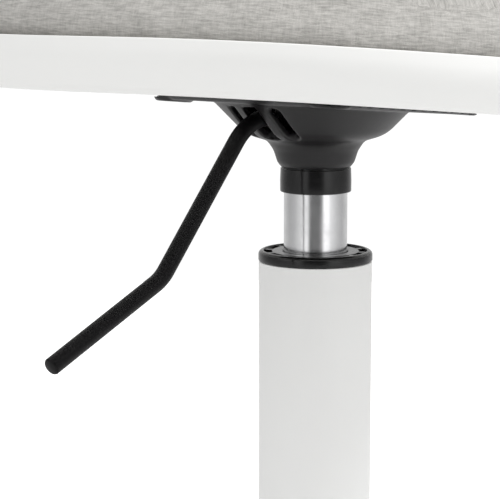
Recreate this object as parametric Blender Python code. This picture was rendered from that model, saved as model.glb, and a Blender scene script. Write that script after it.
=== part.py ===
"""Height-adjustable swivel stool: round tilted seat on a gas lift and a weighted disc base.

Metres, +Z up.  The origin is on the floor, on the axis of the column.  The lever and the
high side of the seat point to -Y, which is called the front.  Every sub-part is one object.
"""
import math

import bmesh
import bpy
from mathutils import Matrix, Vector

MM = 0.001
GAP = 0.3                        # running clearance between neighbouring pieces, mm

# ---------------------------------------------------------------- driving dimensions, mm
RING_TOP = 350.0                 # top face of the column's guide ring above the floor
COLUMN_R, COLUMN_WALL = 25.0, 1.6
TUBE_R, TUBE_WALL = 14.0, 1.5    # pressure tube of the gas spring
ROD_R, ROD_NECK_R = 5.0, 4.0     # piston rod, and its thin lower end
EXPOSED_TUBE = 26.0              # bright tube seen between ring and collar, at rest
TUBE_LOW = 60.0                  # lower end of the pressure tube, at rest
TUBE_TOP = RING_TOP + 51.0       # its top, held in the mount plate's neck
PISTON_LOW = 258.0               # underside of the piston on the rod

BASE_R = 200.0
RING_THICK = 4.0                 # rubber ring on the floor
SHEET = 1.6                      # thickness of the pressed base cover
BASE_SCREW_OFFSET = 31.5         # screws of the base's socket at +-31.5 mm each way
BALL_R, BALL_CIRCLE, BALLS = 1.6, 11.0, 8   # thrust bearing under the rod
SOCKET_TOP = 60.0                # top of the base's steel socket
SEAT_TILT = math.radians(5.5)    # the seat rises towards the lever side
SEAT_PIVOT_Z = RING_TOP + 61.9   # underside of the mount plate's flange, on the axis
SEAT_R = 190.0
RIM_HEIGHT = 20.0
RIM_DIP, RIM_DIP_WIDTH = 2.5, 0.4   # the rim dips a little at the front; width in radians
DIP_START = 0.5                  # share of the seat's radius where the dip begins
CUSHION_CROWN = 38.0             # cushion above the rim
FLANGE = 3.0                     # thickness of the mount plate's flange
BOLT_OFFSET = 44.0               # bolt holes at +-44 mm each way
BOLT_HOLE_R, BOLT_R, HEAD_R = 3.4, 3.0, 4.8
BOSS = 1.0                       # height of the bosses around the bolts
UNDERSIDE = (1.05, 0.0085, 0.0075)   # flange underside: height on the axis, rise with x and y
FLANGE_DRAFT = 0.945             # share of the flange's width that is left at its underside
SLOT_STEP = 11.4                 # distance between the three slots under the lever side
LEVER_R = 3.6
LEVER_PIVOT = (36.0, 60.4)       # outwards from the axis, above the ring

STEPS_SHELL, STEPS_LARGE, STEPS_MEDIUM, STEPS_SMALL = 48, 40, 24, 12

# ---------------------------------------------------------------- finishes
FINISHES = {
    # name: (colour, roughness, metallic)
    "white_enamel": ((0.80, 0.80, 0.79), 0.35, 0.0),
    "white_plastic": ((0.86, 0.86, 0.85), 0.38, 0.0),
    "black_cast": ((0.030, 0.030, 0.032), 0.45, 0.3),
    "black_rod": ((0.012, 0.012, 0.013), 0.35, 0.2),
    "black_plastic": ((0.020, 0.020, 0.021), 0.25, 0.0),
    "black_rubber": ((0.025, 0.025, 0.025), 0.80, 0.0),
    "polished_steel": ((0.80, 0.80, 0.81), 0.12, 1.0),
    "plain_steel": ((0.55, 0.55, 0.56), 0.35, 1.0),
    "cast_iron": ((0.10, 0.10, 0.10), 0.70, 0.6),
    "plywood": ((0.62, 0.45, 0.27), 0.65, 0.0),
    "foam": ((0.85, 0.80, 0.62), 0.95, 0.0),
    "grey_fabric": ((0.33, 0.33, 0.32), 0.95, 0.0),
    "brass": ((0.70, 0.52, 0.25), 0.35, 1.0),
}


def finish(name):
    """Return the named Principled material, made on first use."""
    material = bpy.data.materials.get(name)
    if material is None:
        colour, roughness, metallic = FINISHES[name]
        material = bpy.data.materials.new(name)
        material.use_nodes = True
        shader = material.node_tree.nodes["Principled BSDF"]
        shader.inputs["Base Color"].default_value = (*colour, 1.0)
        shader.inputs["Roughness"].default_value = roughness
        shader.inputs["Metallic"].default_value = metallic
        material.diffuse_color = (*colour, 1.0)
    return material


# ---------------------------------------------------------------- mesh helpers
def add_object(name, mesh_data, material, parent=None, matrix=None):
    """Fill a new object from a bmesh in millimetres, shade it and place it."""
    bmesh.ops.recalc_face_normals(mesh_data, faces=mesh_data.faces)
    bmesh.ops.scale(mesh_data, vec=(MM, MM, MM), verts=mesh_data.verts)
    mesh = bpy.data.meshes.new(name)
    mesh_data.to_mesh(mesh)
    mesh_data.free()
    mesh.shade_smooth()
    mesh.set_sharp_from_angle(angle=math.radians(35))
    mesh.materials.append(finish(material))
    obj = bpy.data.objects.new(name, mesh)
    bpy.context.collection.objects.link(obj)
    obj.parent = parent
    if matrix is not None:
        obj.matrix_local = matrix
    return obj


def at(x, y, z):
    """Placement matrix from a point in millimetres."""
    return Matrix.Translation(Vector((x, y, z)) * MM)


def fillet(points, arc_steps=3):
    """Round an outline's corners: a point is (a, b) or (a, b, radius)."""
    outline = []
    count = len(points)
    for index, point in enumerate(points):
        corner = Vector(point[:2])
        radius = point[2] if len(point) > 2 else 0.0
        if radius <= 0.0:
            outline.append(corner)
            continue
        to_last = (Vector(points[index - 1][:2]) - corner).normalized()
        to_next = (Vector(points[(index + 1) % count][:2]) - corner).normalized()
        half = to_last.angle(to_next) / 2
        centre = corner + (to_last + to_next).normalized() * radius / math.sin(half)
        start = corner + to_last * radius / math.tan(half) - centre
        end = corner + to_next * radius / math.tan(half) - centre
        for step in range(arc_steps + 1):
            blend = start.lerp(end, step / arc_steps)
            if blend.length > 1e-9:
                outline.append(centre + blend.normalized() * radius)
    return outline


def lathe_mesh(profile, steps, arc_steps=3):
    """Turn a closed (radius, height) outline about Z."""
    turned = bmesh.new()
    rows = []
    for radius, height in fillet(profile, arc_steps):
        if radius < 1e-6:
            rows.append([turned.verts.new((0, 0, height))])
            continue
        rows.append([
            turned.verts.new((radius * math.cos(angle), radius * math.sin(angle), height))
            for angle in (2 * math.pi * step / steps for step in range(steps))
        ])
    for row, next_row in zip(rows, rows[1:] + rows[:1]):
        if len(row) == 1 and len(next_row) == 1:
            continue
        for step in range(steps):
            follow = (step + 1) % steps
            if len(row) == 1:
                turned.faces.new((row[0], next_row[step], next_row[follow]))
            elif len(next_row) == 1:
                turned.faces.new((row[step], row[follow], next_row[0]))
            else:
                turned.faces.new((row[step], row[follow], next_row[follow], next_row[step]))
    return turned


def lathe(name, profile, steps, material, parent=None, matrix=None, arc_steps=3):
    """Make one turned sub-part."""
    return add_object(name, lathe_mesh(profile, steps, arc_steps), material, parent, matrix)


def prism_mesh(outline, low, high):
    """Extrude a closed (x, y) outline from low to high."""
    solid = bmesh.new()
    bottom = [solid.verts.new((x, y, low)) for x, y in outline]
    face = solid.faces.new(bottom)
    raised = bmesh.ops.extrude_face_region(solid, geom=[face])
    verts = [item for item in raised["geom"] if isinstance(item, bmesh.types.BMVert)]
    bmesh.ops.translate(solid, verts=verts, vec=(0, 0, high - low))
    return solid


def rounded_rectangle(half_x, half_y, radius, arc_steps=5):
    """Closed outline of a rounded rectangle about the origin."""
    corners = [(half_x, half_y), (-half_x, half_y), (-half_x, -half_y), (half_x, -half_y)]
    return fillet([(x, y, radius) for x, y in corners], arc_steps)


def sweep_mesh(path, radius, sides, arc_steps=6, end_chamfer=0.8):
    """Round bar along a filleted path in the (outwards, up) plane; outwards is -Y."""
    points = fillet(path, arc_steps)
    bar = bmesh.new()
    rows = []
    ends = len(points) - 1
    for index, point in enumerate(points):
        before = points[max(index - 1, 0)]
        after = points[min(index + 1, ends)]
        along = (after - before).normalized()
        across = Vector((0, along.y, along.x))
        rings = [(0.0, radius)]
        if index == 0:
            rings = [(0.0, radius - end_chamfer), (end_chamfer, radius)]
        elif index == ends:
            rings = [(-end_chamfer, radius), (0.0, radius - end_chamfer)]
        for shift, ring_radius in rings:
            centre = Vector((0, -(point.x + along.x * shift), point.y + along.y * shift))
            rows.append([
                bar.verts.new(centre + (Vector((1, 0, 0)) * math.cos(angle)
                                        + across * math.sin(angle)) * ring_radius)
                for angle in (2 * math.pi * step / sides for step in range(sides))
            ])
    for row, next_row in zip(rows, rows[1:]):
        for step in range(sides):
            follow = (step + 1) % sides
            bar.faces.new((row[step], row[follow], next_row[follow], next_row[step]))
    bar.faces.new(rows[0])
    bar.faces.new(rows[-1])
    return bar


def boolean(target, operation, cutter_mesh, matrix=None):
    """Cut target with, or join to it, a hidden helper made from a bmesh."""
    label = f"{target.name}_{operation.lower()}_{len(target.modifiers)}"
    cutter = add_object(label, cutter_mesh, "plain_steel", target.parent, matrix)
    cutter.hide_render = True
    cutter.display_type = "WIRE"
    modifier = target.modifiers.new(label, "BOOLEAN")
    modifier.operation = operation
    modifier.object = cutter
    return cutter


def four_corners(offset):
    """Places of the four bolts, in a fixed order."""
    return [(x * offset, y * offset) for x, y in ((1, -1), (-1, -1), (-1, 1), (1, 1))]


# ---------------------------------------------------------------- base
def make_base():
    """Weighted disc base with the column's socket."""
    lathe("floor_ring",
          [(184, 0), (199, 0, 1.5), (199, RING_THICK, 1.5), (184, RING_THICK)],
          STEPS_LARGE, "black_rubber")

    low = RING_THICK + GAP
    outer = [(BASE_R, low), (BASE_R, 9, 5), (170, 15, 60), (60, 26, 60), (34, 44, 14), (30.9, 58)]
    inner = [(30.9 - SHEET, 58), (34 - SHEET, 44, 14), (60, 26 - SHEET, 60),
             (170, 15 - SHEET, 60), (BASE_R - SHEET, 9 - SHEET, 3), (BASE_R - SHEET, low)]
    lathe("base_cover", outer + inner, STEPS_LARGE, "white_enamel", arc_steps=2)

    weight = lathe("base_weight",
                   [(31, low), (192, low), (192, 7.2), (168, 12.2), (31, 12.2)],
                   STEPS_LARGE, "cast_iron")
    bore = COLUMN_R + GAP
    socket = lathe("column_socket",
                   [(bore, low), (28.4, low), (28.4, 12.5), (58, 12.5), (58, 16),
                    (29, 16, 2), (29, SOCKET_TOP), (bore, SOCKET_TOP)],
                   STEPS_MEDIUM, "plain_steel")
    hole = [(0, 6), (4.3, 6), (4.3, 20), (0, 20)]
    for number, (x, y) in enumerate(four_corners(BASE_SCREW_OFFSET), 1):
        boolean(weight, "DIFFERENCE", lathe_mesh(hole, STEPS_SMALL), at(x, y, 0))
        boolean(socket, "DIFFERENCE", lathe_mesh(hole, STEPS_SMALL), at(x, y, 0))
        lathe(f"base_screw_{number}",
              [(0, 6.4), (4, 6.4), (4, 16.3), (6.4, 16.3), (6.4, 18.8, 1), (0, 18.8)],
              STEPS_SMALL, "plain_steel", matrix=at(x, y, 0))


def make_column():
    """Fixed outer column with its bottom, lower race and guide ring."""
    inner = COLUMN_R - COLUMN_WALL
    top = RING_TOP - 4.8
    lathe("column_tube", [(inner, 5), (COLUMN_R, 5), (COLUMN_R, top), (inner, top)],
          STEPS_MEDIUM, "white_enamel")
    lathe("column_bottom", [(5.4, 6.5), (inner - GAP, 6.5), (inner - GAP, 13), (5.4, 13)],
          STEPS_MEDIUM, "plain_steel")
    lathe("lower_race", [(6, 13.3), (16, 13.3), (16, 14.5), (6, 14.5)],
          STEPS_MEDIUM, "plain_steel")
    bore = TUBE_R + GAP
    lathe("guide_ring",
          [(bore, RING_TOP - 70), (inner - GAP, RING_TOP - 70), (inner - GAP, RING_TOP - 4.5),
           (COLUMN_R + 0.2, RING_TOP - 4.5), (COLUMN_R + 0.2, RING_TOP, 1.6),
           (22.6, RING_TOP), (22.6, RING_TOP - 1.6), (20.4, RING_TOP - 1.6), (20.4, RING_TOP),
           (bore, RING_TOP, 0.8)],
          STEPS_MEDIUM, "black_plastic")


def make_bearing():
    """Cage and balls of the thrust bearing under the piston rod."""
    ball_z = 14.55 + BALL_R      # just clear of the lower race
    cage = lathe("ball_cage",
                 [(6.2, ball_z - 0.5), (15.6, ball_z - 0.5), (15.6, ball_z + 0.5),
                  (6.2, ball_z + 0.5)], STEPS_MEDIUM, "brass")
    hole_r = BALL_R + 0.2
    hole = [(0, ball_z - 2), (hole_r, ball_z - 2), (hole_r, ball_z + 2), (0, ball_z + 2)]
    for number in range(1, BALLS + 1):
        angle = 2 * math.pi * number / BALLS
        x, y = BALL_CIRCLE * math.cos(angle), BALL_CIRCLE * math.sin(angle)
        # a small turn keeps the hole's corners off the cage's own edges
        turned = Matrix.Rotation(angle + 0.1, 4, "Z")
        boolean(cage, "DIFFERENCE", lathe_mesh(hole, STEPS_SMALL), at(x, y, 0) @ turned)
        ball = bmesh.new()
        bmesh.ops.create_icosphere(ball, subdivisions=1, radius=BALL_R)
        add_object(f"bearing_ball_{number}", ball, "polished_steel", matrix=at(x, y, ball_z))


def make_piston_rod(swivel):
    """Pieces that turn with the seat but do not rise with it."""
    neck = ROD_NECK_R + GAP
    piston_r = TUBE_R - TUBE_WALL - GAP
    shoulder = 19.5              # step from the rod's neck to its full size
    lathe("piston_rod",
          [(0, 4.6), (ROD_NECK_R, 4.6), (ROD_NECK_R, shoulder), (ROD_R, shoulder),
           (ROD_R, PISTON_LOW), (0, PISTON_LOW)], STEPS_SMALL, "polished_steel", swivel)
    lathe("gas_piston",
          [(0, PISTON_LOW + GAP), (piston_r, PISTON_LOW + GAP), (piston_r, PISTON_LOW + 10),
           (0, PISTON_LOW + 10)], STEPS_MEDIUM, "plain_steel", swivel)
    lathe("upper_race", [(neck, 17.9), (16, 17.9), (16, 19.1), (neck, 19.1)],
          STEPS_MEDIUM, "plain_steel", swivel)
    lathe("rod_bumper",
          [(ROD_R + GAP, shoulder), (12, shoulder), (12, 31, 3), (ROD_R + GAP, 31)],
          STEPS_MEDIUM, "black_rubber", swivel)
    lathe("rod_clip", [(neck, 5.0), (9, 5.0), (9, 6.1), (neck, 6.1)],
          STEPS_SMALL, "plain_steel", swivel)


# ---------------------------------------------------------------- gas spring and mount plate
def make_gas_spring(seat):
    """Pressure tube with its seal, valve and the collar under the plate's neck."""
    inner = TUBE_R - TUBE_WALL
    lid = TUBE_TOP - 2           # underside of the tube's closed end
    lathe("pressure_tube",
          [(inner, TUBE_LOW), (TUBE_R, TUBE_LOW), (TUBE_R, TUBE_TOP, 1), (4.2, TUBE_TOP),
           (4.2, lid), (inner, lid)], STEPS_MEDIUM, "polished_steel", seat)
    lathe("rod_seal",
          [(ROD_R + GAP, TUBE_LOW + 0.5), (inner - GAP, TUBE_LOW + 0.5),
           (inner - GAP, TUBE_LOW + 18), (ROD_R + GAP, TUBE_LOW + 18)],
          STEPS_MEDIUM, "black_rubber", seat)
    lathe("gas_valve",
          [(3.8, lid - 20), (inner - GAP, lid - 20), (inner - GAP, lid - GAP), (3.8, lid - GAP)],
          STEPS_MEDIUM, "brass", seat)
    bore = TUBE_R + GAP
    low = RING_TOP + EXPOSED_TUBE
    high = low + 10.6
    lathe("collar", [(bore, low), (15.7, low, 0.5), (15.5, high, 0.5), (bore, high)],
          STEPS_MEDIUM, "black_plastic", seat)


def underside(x, y):
    """Height of the flange's underside, which thins the flange away from the lever."""
    height, rise_x, rise_y = UNDERSIDE
    return height + rise_x * x + rise_y * y


def make_mount_plate(seat, tilt):
    """Cast plate: neck and bowl about the axis, flange tilted with the seat."""
    z = RING_TOP
    bore = TUBE_R + GAP
    outer = [(bore, z + 37.0), (15.4, z + 37.0), (17.0, z + 39.2, 2), (18.6, z + 44.2, 6),
             (21.5, z + 48.6, 5), (31.0, z + 51.5, 16), (44.5, z + 65.3), (50, z + 72),
             (bore, z + 72)]
    plate = lathe("mount_plate", outer, STEPS_LARGE, "black_cast", seat)

    flange = prism_mesh(rounded_rectangle(55, 55, 17), 0, FLANGE)
    for vertex in flange.verts:
        if vertex.co.z < FLANGE / 2:
            vertex.co.xy *= FLANGE_DRAFT
            vertex.co.z = underside(vertex.co.x, vertex.co.y)
    boolean(plate, "UNION", flange, tilt)
    for x, y in four_corners(BOLT_OFFSET):
        place = tilt @ at(x, y, underside(x, y))
        boss = [(0, -BOSS), (7.6, -BOSS), (9, 0.8), (0, 0.8)]
        boolean(plate, "UNION", lathe_mesh(boss, STEPS_SMALL), place)
        sink = HEAD_R + GAP
        hole = [(0, -3), (sink, -3), (sink, -0.6), (BOLT_HOLE_R, 1.3), (BOLT_HOLE_R, 6), (0, 6)]
        boolean(plate, "DIFFERENCE", lathe_mesh(hole, STEPS_SMALL), place)
    # everything above the flange's top face, then the hollow of the bowl, then the slots
    boolean(plate, "DIFFERENCE", prism_mesh(rounded_rectangle(80, 80, 5), FLANGE, 30), tilt)
    hollow = [(0, z + 54.0), (28.2, z + 54.0), (40.2, z + 64.7), (40.2, z + 75), (0, z + 75)]
    boolean(plate, "DIFFERENCE", lathe_mesh(hollow, STEPS_LARGE))
    for offset, half_width in ((-SLOT_STEP, 3.4), (0.0, 4.2), (SLOT_STEP, 3.4)):
        slot = rounded_rectangle(half_width, 10.8, 3.2)
        cutter = prism_mesh([(x + offset, y - 35.5) for x, y in slot], -14, -0.6)
        boolean(plate, "DIFFERENCE", cutter, tilt)


# ---------------------------------------------------------------- lever and pin
def make_lever(lever, pin):
    """Bent rod that leaves through the middle slot, its bush, and the pin it presses."""
    out, up = LEVER_PIVOT
    path = [(-5, up), (44.2, up, 26), (96.9, -1.2, 18), (158, -28.2)]
    path = [(a - out, b - up, *rest) for a, b, *rest in path]
    add_object("lever_rod", sweep_mesh(path, LEVER_R, 14), "black_rod", lever)
    bush = lathe_mesh([(LEVER_R + GAP, -4), (4.4, -4), (4.4, 4), (LEVER_R + GAP, 4)], STEPS_SMALL)
    upright = Matrix.Rotation(math.radians(90), 4, "X")
    add_object("lever_bush", bush, "black_plastic", lever, at(0, 9.0, 0) @ upright)
    top = up - LEVER_R - GAP + RING_TOP
    lathe("release_pin", [(0, top - 24), (3.4, top - 24), (3.4, top, 1), (0, top)],
          STEPS_SMALL, "polished_steel", pin)


# ---------------------------------------------------------------- seat
def dip_front(obj):
    """Lower the rim a little at the front, fading in towards the edge."""
    for vertex in obj.data.vertices:
        radius = math.hypot(vertex.co.x, vertex.co.y) / (SEAT_R * MM)
        if radius < DIP_START:
            continue
        reach = min((radius - DIP_START) / (1 - DIP_START), 1.0) ** 2
        angle = math.atan2(vertex.co.x, -vertex.co.y)
        vertex.co.z -= RIM_DIP * MM * reach * math.exp(-(angle / RIM_DIP_WIDTH) ** 2)


def make_seat(tilted):
    """Shell, board, foam and cover, all square to the tilted plate."""
    floor = FLANGE + GAP
    top = floor + RIM_HEIGHT
    inside = SEAT_R - 4.2
    flat = DIP_START * SEAT_R
    shell = lathe("seat_shell",
                  [(0, floor), (flat, floor), (SEAT_R - 8, floor, 7), (SEAT_R, floor + 13, 14),
                   (SEAT_R - 0.6, top, 1.4), (inside, top, 1.4), (inside, floor + 3.5, 3),
                   (flat, floor + 3.5), (0, floor + 3.5)], STEPS_SHELL, "white_plastic", tilted)
    dip_front(shell)
    board_low = floor + 3.5 + GAP
    board_top = board_low + 11
    board = lathe("seat_board",
                  [(0, board_low), (174, board_low), (174, board_top), (0, board_top)],
                  STEPS_LARGE, "plywood", tilted)
    crown = top + CUSHION_CROWN
    lathe("foam_pad",
          [(0, board_top + 1.6), (173, board_top + 1.6), (181.6, top + 8, 12), (174, crown - 14, 12),
           (120, crown - 3.6, 80), (0, crown - 2.6)],
          STEPS_LARGE, "foam", tilted, arc_steps=2)
    lathe("cushion_cover",
          [(175.5, board_low + 2), (183.6, board_low + 2), (184.4, top + 8, 12),
           (176, crown - 12, 12), (120, crown - 1.2, 80), (0, crown), (0, crown - 2),
           (120, crown - 3.2, 80), (174.6, crown - 13.6, 12), (182.4, top + 8, 12),
           (175.5, board_top + 1)],
          STEPS_LARGE, "grey_fabric", tilted, arc_steps=2)

    for number, (x, y) in enumerate(four_corners(BOLT_OFFSET), 1):
        place = at(x, y, 0)
        through = [(0, floor - 2), (BOLT_HOLE_R, floor - 2), (BOLT_HOLE_R, board_low - 0.1),
                   (0, board_low - 0.1)]
        boolean(shell, "DIFFERENCE", lathe_mesh(through, STEPS_SMALL), place)
        wide = [(0, board_low - 1), (4.7, board_low - 1), (4.7, board_top + 1),
                (0, board_top + 1)]
        boolean(board, "DIFFERENCE", lathe_mesh(wide, STEPS_SMALL), place)
        head = underside(x, y) - BOSS + 0.2
        bolt = [(0, head), (HEAD_R, head), (HEAD_R, head + 0.2), (BOLT_R, head + 2.0),
                (BOLT_R, board_top - 1), (0, board_top - 1)]
        lathe(f"plate_bolt_{number}", bolt, STEPS_SMALL, "black_rod", tilted, place)
        nut_bore = BOLT_R + GAP
        nut = [(nut_bore, board_low + 1), (4.4, board_low + 1), (4.4, board_top + GAP),
               (9, board_top + GAP), (9, board_top + 1.2), (nut_bore, board_top + 1.2)]
        lathe(f"tee_nut_{number}", nut, STEPS_SMALL, "plain_steel", tilted, place)


def add_empty(name, parent=None, matrix=None):
    """Frame that carries a body's pieces; its origin is on the joint's axis."""
    empty = bpy.data.objects.new(name, None)
    bpy.context.collection.objects.link(empty)
    empty.parent = parent
    if matrix is not None:
        empty.matrix_local = matrix
    return empty


def main():
    """Clear the scene and build the whole stool."""
    for obj in list(bpy.data.objects):
        bpy.data.objects.remove(obj, do_unlink=True)
    swivel = add_empty("swivel_axis")
    seat = add_empty("seat_slide", swivel)
    tilt = at(0, 0, SEAT_PIVOT_Z) @ Matrix.Rotation(-SEAT_TILT, 4, "X")
    tilted = add_empty("tilted_seat", seat, tilt)
    out, up = LEVER_PIVOT
    lever = add_empty("lever_pivot", seat, at(0, -out, RING_TOP + up))
    pin = add_empty("pin_slide", seat)

    make_base()
    make_column()
    make_bearing()
    make_piston_rod(swivel)
    make_gas_spring(seat)
    make_mount_plate(seat, tilt)
    make_lever(lever, pin)
    make_seat(tilted)
    bpy.context.view_layer.update()


if __name__ == "__main__":
    main()
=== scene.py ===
"""Visible pieces and finishes of a height-adjustable swivel stool, built around its frame.

Sizes are in metres; outlines of turned pieces are in millimetres, as (radius, height).
The seat's pieces are drawn square to the seat; tilt_matrix() then leans them into place.
"""

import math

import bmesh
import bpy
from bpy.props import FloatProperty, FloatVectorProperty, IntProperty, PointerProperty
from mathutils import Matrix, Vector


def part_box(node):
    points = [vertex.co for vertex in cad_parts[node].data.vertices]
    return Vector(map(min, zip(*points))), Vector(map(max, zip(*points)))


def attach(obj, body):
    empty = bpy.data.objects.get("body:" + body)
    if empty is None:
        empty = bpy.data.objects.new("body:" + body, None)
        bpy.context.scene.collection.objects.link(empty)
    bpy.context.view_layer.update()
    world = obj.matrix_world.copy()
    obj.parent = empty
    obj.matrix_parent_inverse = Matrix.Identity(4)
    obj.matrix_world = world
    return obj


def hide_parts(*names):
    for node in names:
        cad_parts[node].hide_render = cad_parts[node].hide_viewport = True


bl_info = {
    "name": "Adjustable swivel stool",
    "version": (1, 0, 0),
    "blender": (4, 5, 0),
    "location": "View3D > Sidebar > Stool",
    "description": "Builds the visible pieces and finishes of a round swivel stool",
    "category": "Add Mesh",
}

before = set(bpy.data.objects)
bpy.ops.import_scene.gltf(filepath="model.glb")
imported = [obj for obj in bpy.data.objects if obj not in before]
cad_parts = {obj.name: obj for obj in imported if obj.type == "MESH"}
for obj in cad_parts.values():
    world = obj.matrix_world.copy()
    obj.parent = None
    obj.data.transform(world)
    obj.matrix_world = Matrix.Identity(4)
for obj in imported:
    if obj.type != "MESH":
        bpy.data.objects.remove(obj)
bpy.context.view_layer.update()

MM = 0.001
SHEET = 1.6                      # sheet of the column and the base, in mm
TUBE_GAP = 0.3                   # between the bright tube and what surrounds it, in mm
RING_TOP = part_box("guide_ring")[1].z
UNDERSIDE = (1.05, 0.0085, 0.0075)   # flange underside in mm: on the axis, rise with x and y
FLANGE_DRAFT = 0.945             # share of the flange's width that is left at its underside
SLOTS = ((-11.4, 2.8), (0.0, 4.0), (11.4, 2.7))   # place across and half width, in mm
SLOT_REACH = (35.5, 10.8)        # middle and half length of the slots, in mm
SHELL_FLOOR = 3.3                # underside of the shell above the plate's, in mm
PAD_TOP_DROP = (7.5, 3.2, 2.2)   # pad below the crown before it swells: 174, 140, 0 mm out
SEAM_RADIUS = 177.5              # seam between side band and top panel, in mm
SEAM_DROP = 9.5                  # and how far below the crown it runs
COVER_GIVE = 0.0045              # furthest that the cover swells


# ---------------------------------------------------------------- what a user would change
def length(label, text, default):
    """A size property in metres."""
    return FloatProperty(name=label, description=text, default=default, min=0.0, unit="LENGTH")


def colour(label, text, default):
    """A colour property, in linear light."""
    return FloatVectorProperty(name=label, description=text, default=default, size=3,
                               min=0.0, max=1.0, subtype="COLOR")


class StoolSizes(bpy.types.PropertyGroup):
    """Sizes of the stool; the defaults are the frame's."""

    column_radius: length("Column radius", "Outside of the white column",
                          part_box("column_tube")[1].x)
    tube_radius: length("Tube radius", "Outside of the gas spring's steel tube",
                        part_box("pressure_tube")[1].x)
    base_radius: length("Base radius", "Outside of the round base",
                        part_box("base_cover")[1].x)
    seat_radius: length("Seat radius", "Outside of the seat's white shell", 0.190)
    rim_height: length("Rim height", "Height of the shell's upright rim", 0.020)
    crown: length("Crown", "Height of the cushion above the rim", 0.0375)
    plate_rise: length("Plate rise", "Underside of the mount plate above the guide ring",
                       0.0619)
    bolt_offset: length("Bolt offset", "Plate bolts to the left, right, front and back", 0.044)
    rim_dip: length("Rim dip", "How far the rim dips at the front", 0.0025)
    lever_radius: length("Lever radius", "Radius of the lever's rod", 0.0036)
    seat_tilt: FloatProperty(name="Seat tilt", description="Rise of the seat towards the lever",
                             default=math.radians(5.5), subtype="ANGLE")
    steps: IntProperty(name="Steps", description="Facets around the largest turned pieces",
                       default=192, min=24, max=360)


class StoolColours(bpy.types.PropertyGroup):
    """Colours of the finishes."""

    enamel: colour("Enamel", "Powder coat of the column and base", (0.80, 0.80, 0.79))
    shell: colour("Shell", "Moulded seat shell", (0.86, 0.86, 0.845))
    casting: colour("Casting", "Paint of the cast mount plate", (0.0062, 0.0055, 0.0062))
    rod: colour("Rod", "Paint of the lever and bolts", (0.0032, 0.0029, 0.0033))
    plastic: colour("Plastic", "Collar and guide ring", (0.0042, 0.0040, 0.0043))
    rubber: colour("Rubber", "Floor ring, seal and bumper", (0.022, 0.022, 0.022))
    steel: colour("Steel", "Ground steel of the gas spring", (0.80, 0.80, 0.81))
    yarn_light: colour("Light yarn", "Lighter yarn of the cover", (0.62, 0.604, 0.574))
    yarn_dark: colour("Dark yarn", "Darker yarn of the cover", (0.265, 0.257, 0.241))
    wood: colour("Wood", "Plywood of the seat board", (0.62, 0.45, 0.27))


# ---------------------------------------------------------------- node trees
class Num:
    """A number socket of a tree; arithmetic on it adds Math nodes."""

    def __init__(self, tree, socket):
        self.tree, self.socket = tree, socket

    def __add__(self, other):
        return self.tree.math("ADD", self, other)

    def __sub__(self, other):
        return self.tree.math("SUBTRACT", self, other)

    def __rsub__(self, other):
        return self.tree.math("SUBTRACT", other, self)

    def __mul__(self, other):
        return self.tree.math("MULTIPLY", self, other)

    def __truediv__(self, other):
        return self.tree.math("DIVIDE", self, other)

    def __pow__(self, other):
        return self.tree.math("POWER", self, other)

    __radd__ = __add__
    __rmul__ = __mul__


class Tree:
    """Adds nodes to a shader or geometry tree."""

    def __init__(self, tree):
        self.tree = tree

    def node(self, kind, inputs=None, **settings):
        """Add one node: its settings first, then the values or links of its sockets."""
        node = self.tree.nodes.new(kind)
        for name, value in settings.items():
            if name == "stops":
                self.fill_ramp(node.color_ramp, value)
            else:
                setattr(node, name, value)
        for key, value in (inputs or {}).items():
            self.feed(node.inputs[key], value)
        return node

    def feed(self, socket, value):
        """Link a socket, or set its value."""
        value = value.socket if isinstance(value, Num) else value
        if isinstance(value, bpy.types.NodeSocket):
            self.tree.links.new(value, socket)
        else:
            socket.default_value = value

    @staticmethod
    def fill_ramp(ramp, stops):
        """Give a ramp its (place, grey) stops."""
        while len(ramp.elements) < len(stops):
            ramp.elements.new(1.0)
        for element, (place, grey) in zip(ramp.elements, stops):
            element.position = place
            element.color = (grey, grey, grey, 1.0)

    def math(self, operation, *values, clamp=False):
        """Add a Math node on numbers."""
        node = self.node("ShaderNodeMath", dict(enumerate(values)), operation=operation,
                         use_clamp=clamp)
        return Num(self, node.outputs[0])

    def split(self, vector):
        """The three numbers of a vector."""
        node = self.node("ShaderNodeSeparateXYZ", {0: vector})
        return [Num(self, socket) for socket in node.outputs]

    def position(self):
        """The position of a geometry tree's points."""
        return self.node("GeometryNodeInputPosition").outputs[0]

    def join(self, x=0.0, y=0.0, z=0.0):
        """A vector from three numbers."""
        return self.node("ShaderNodeCombineXYZ", {0: x, 1: y, 2: z}).outputs[0]


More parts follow.
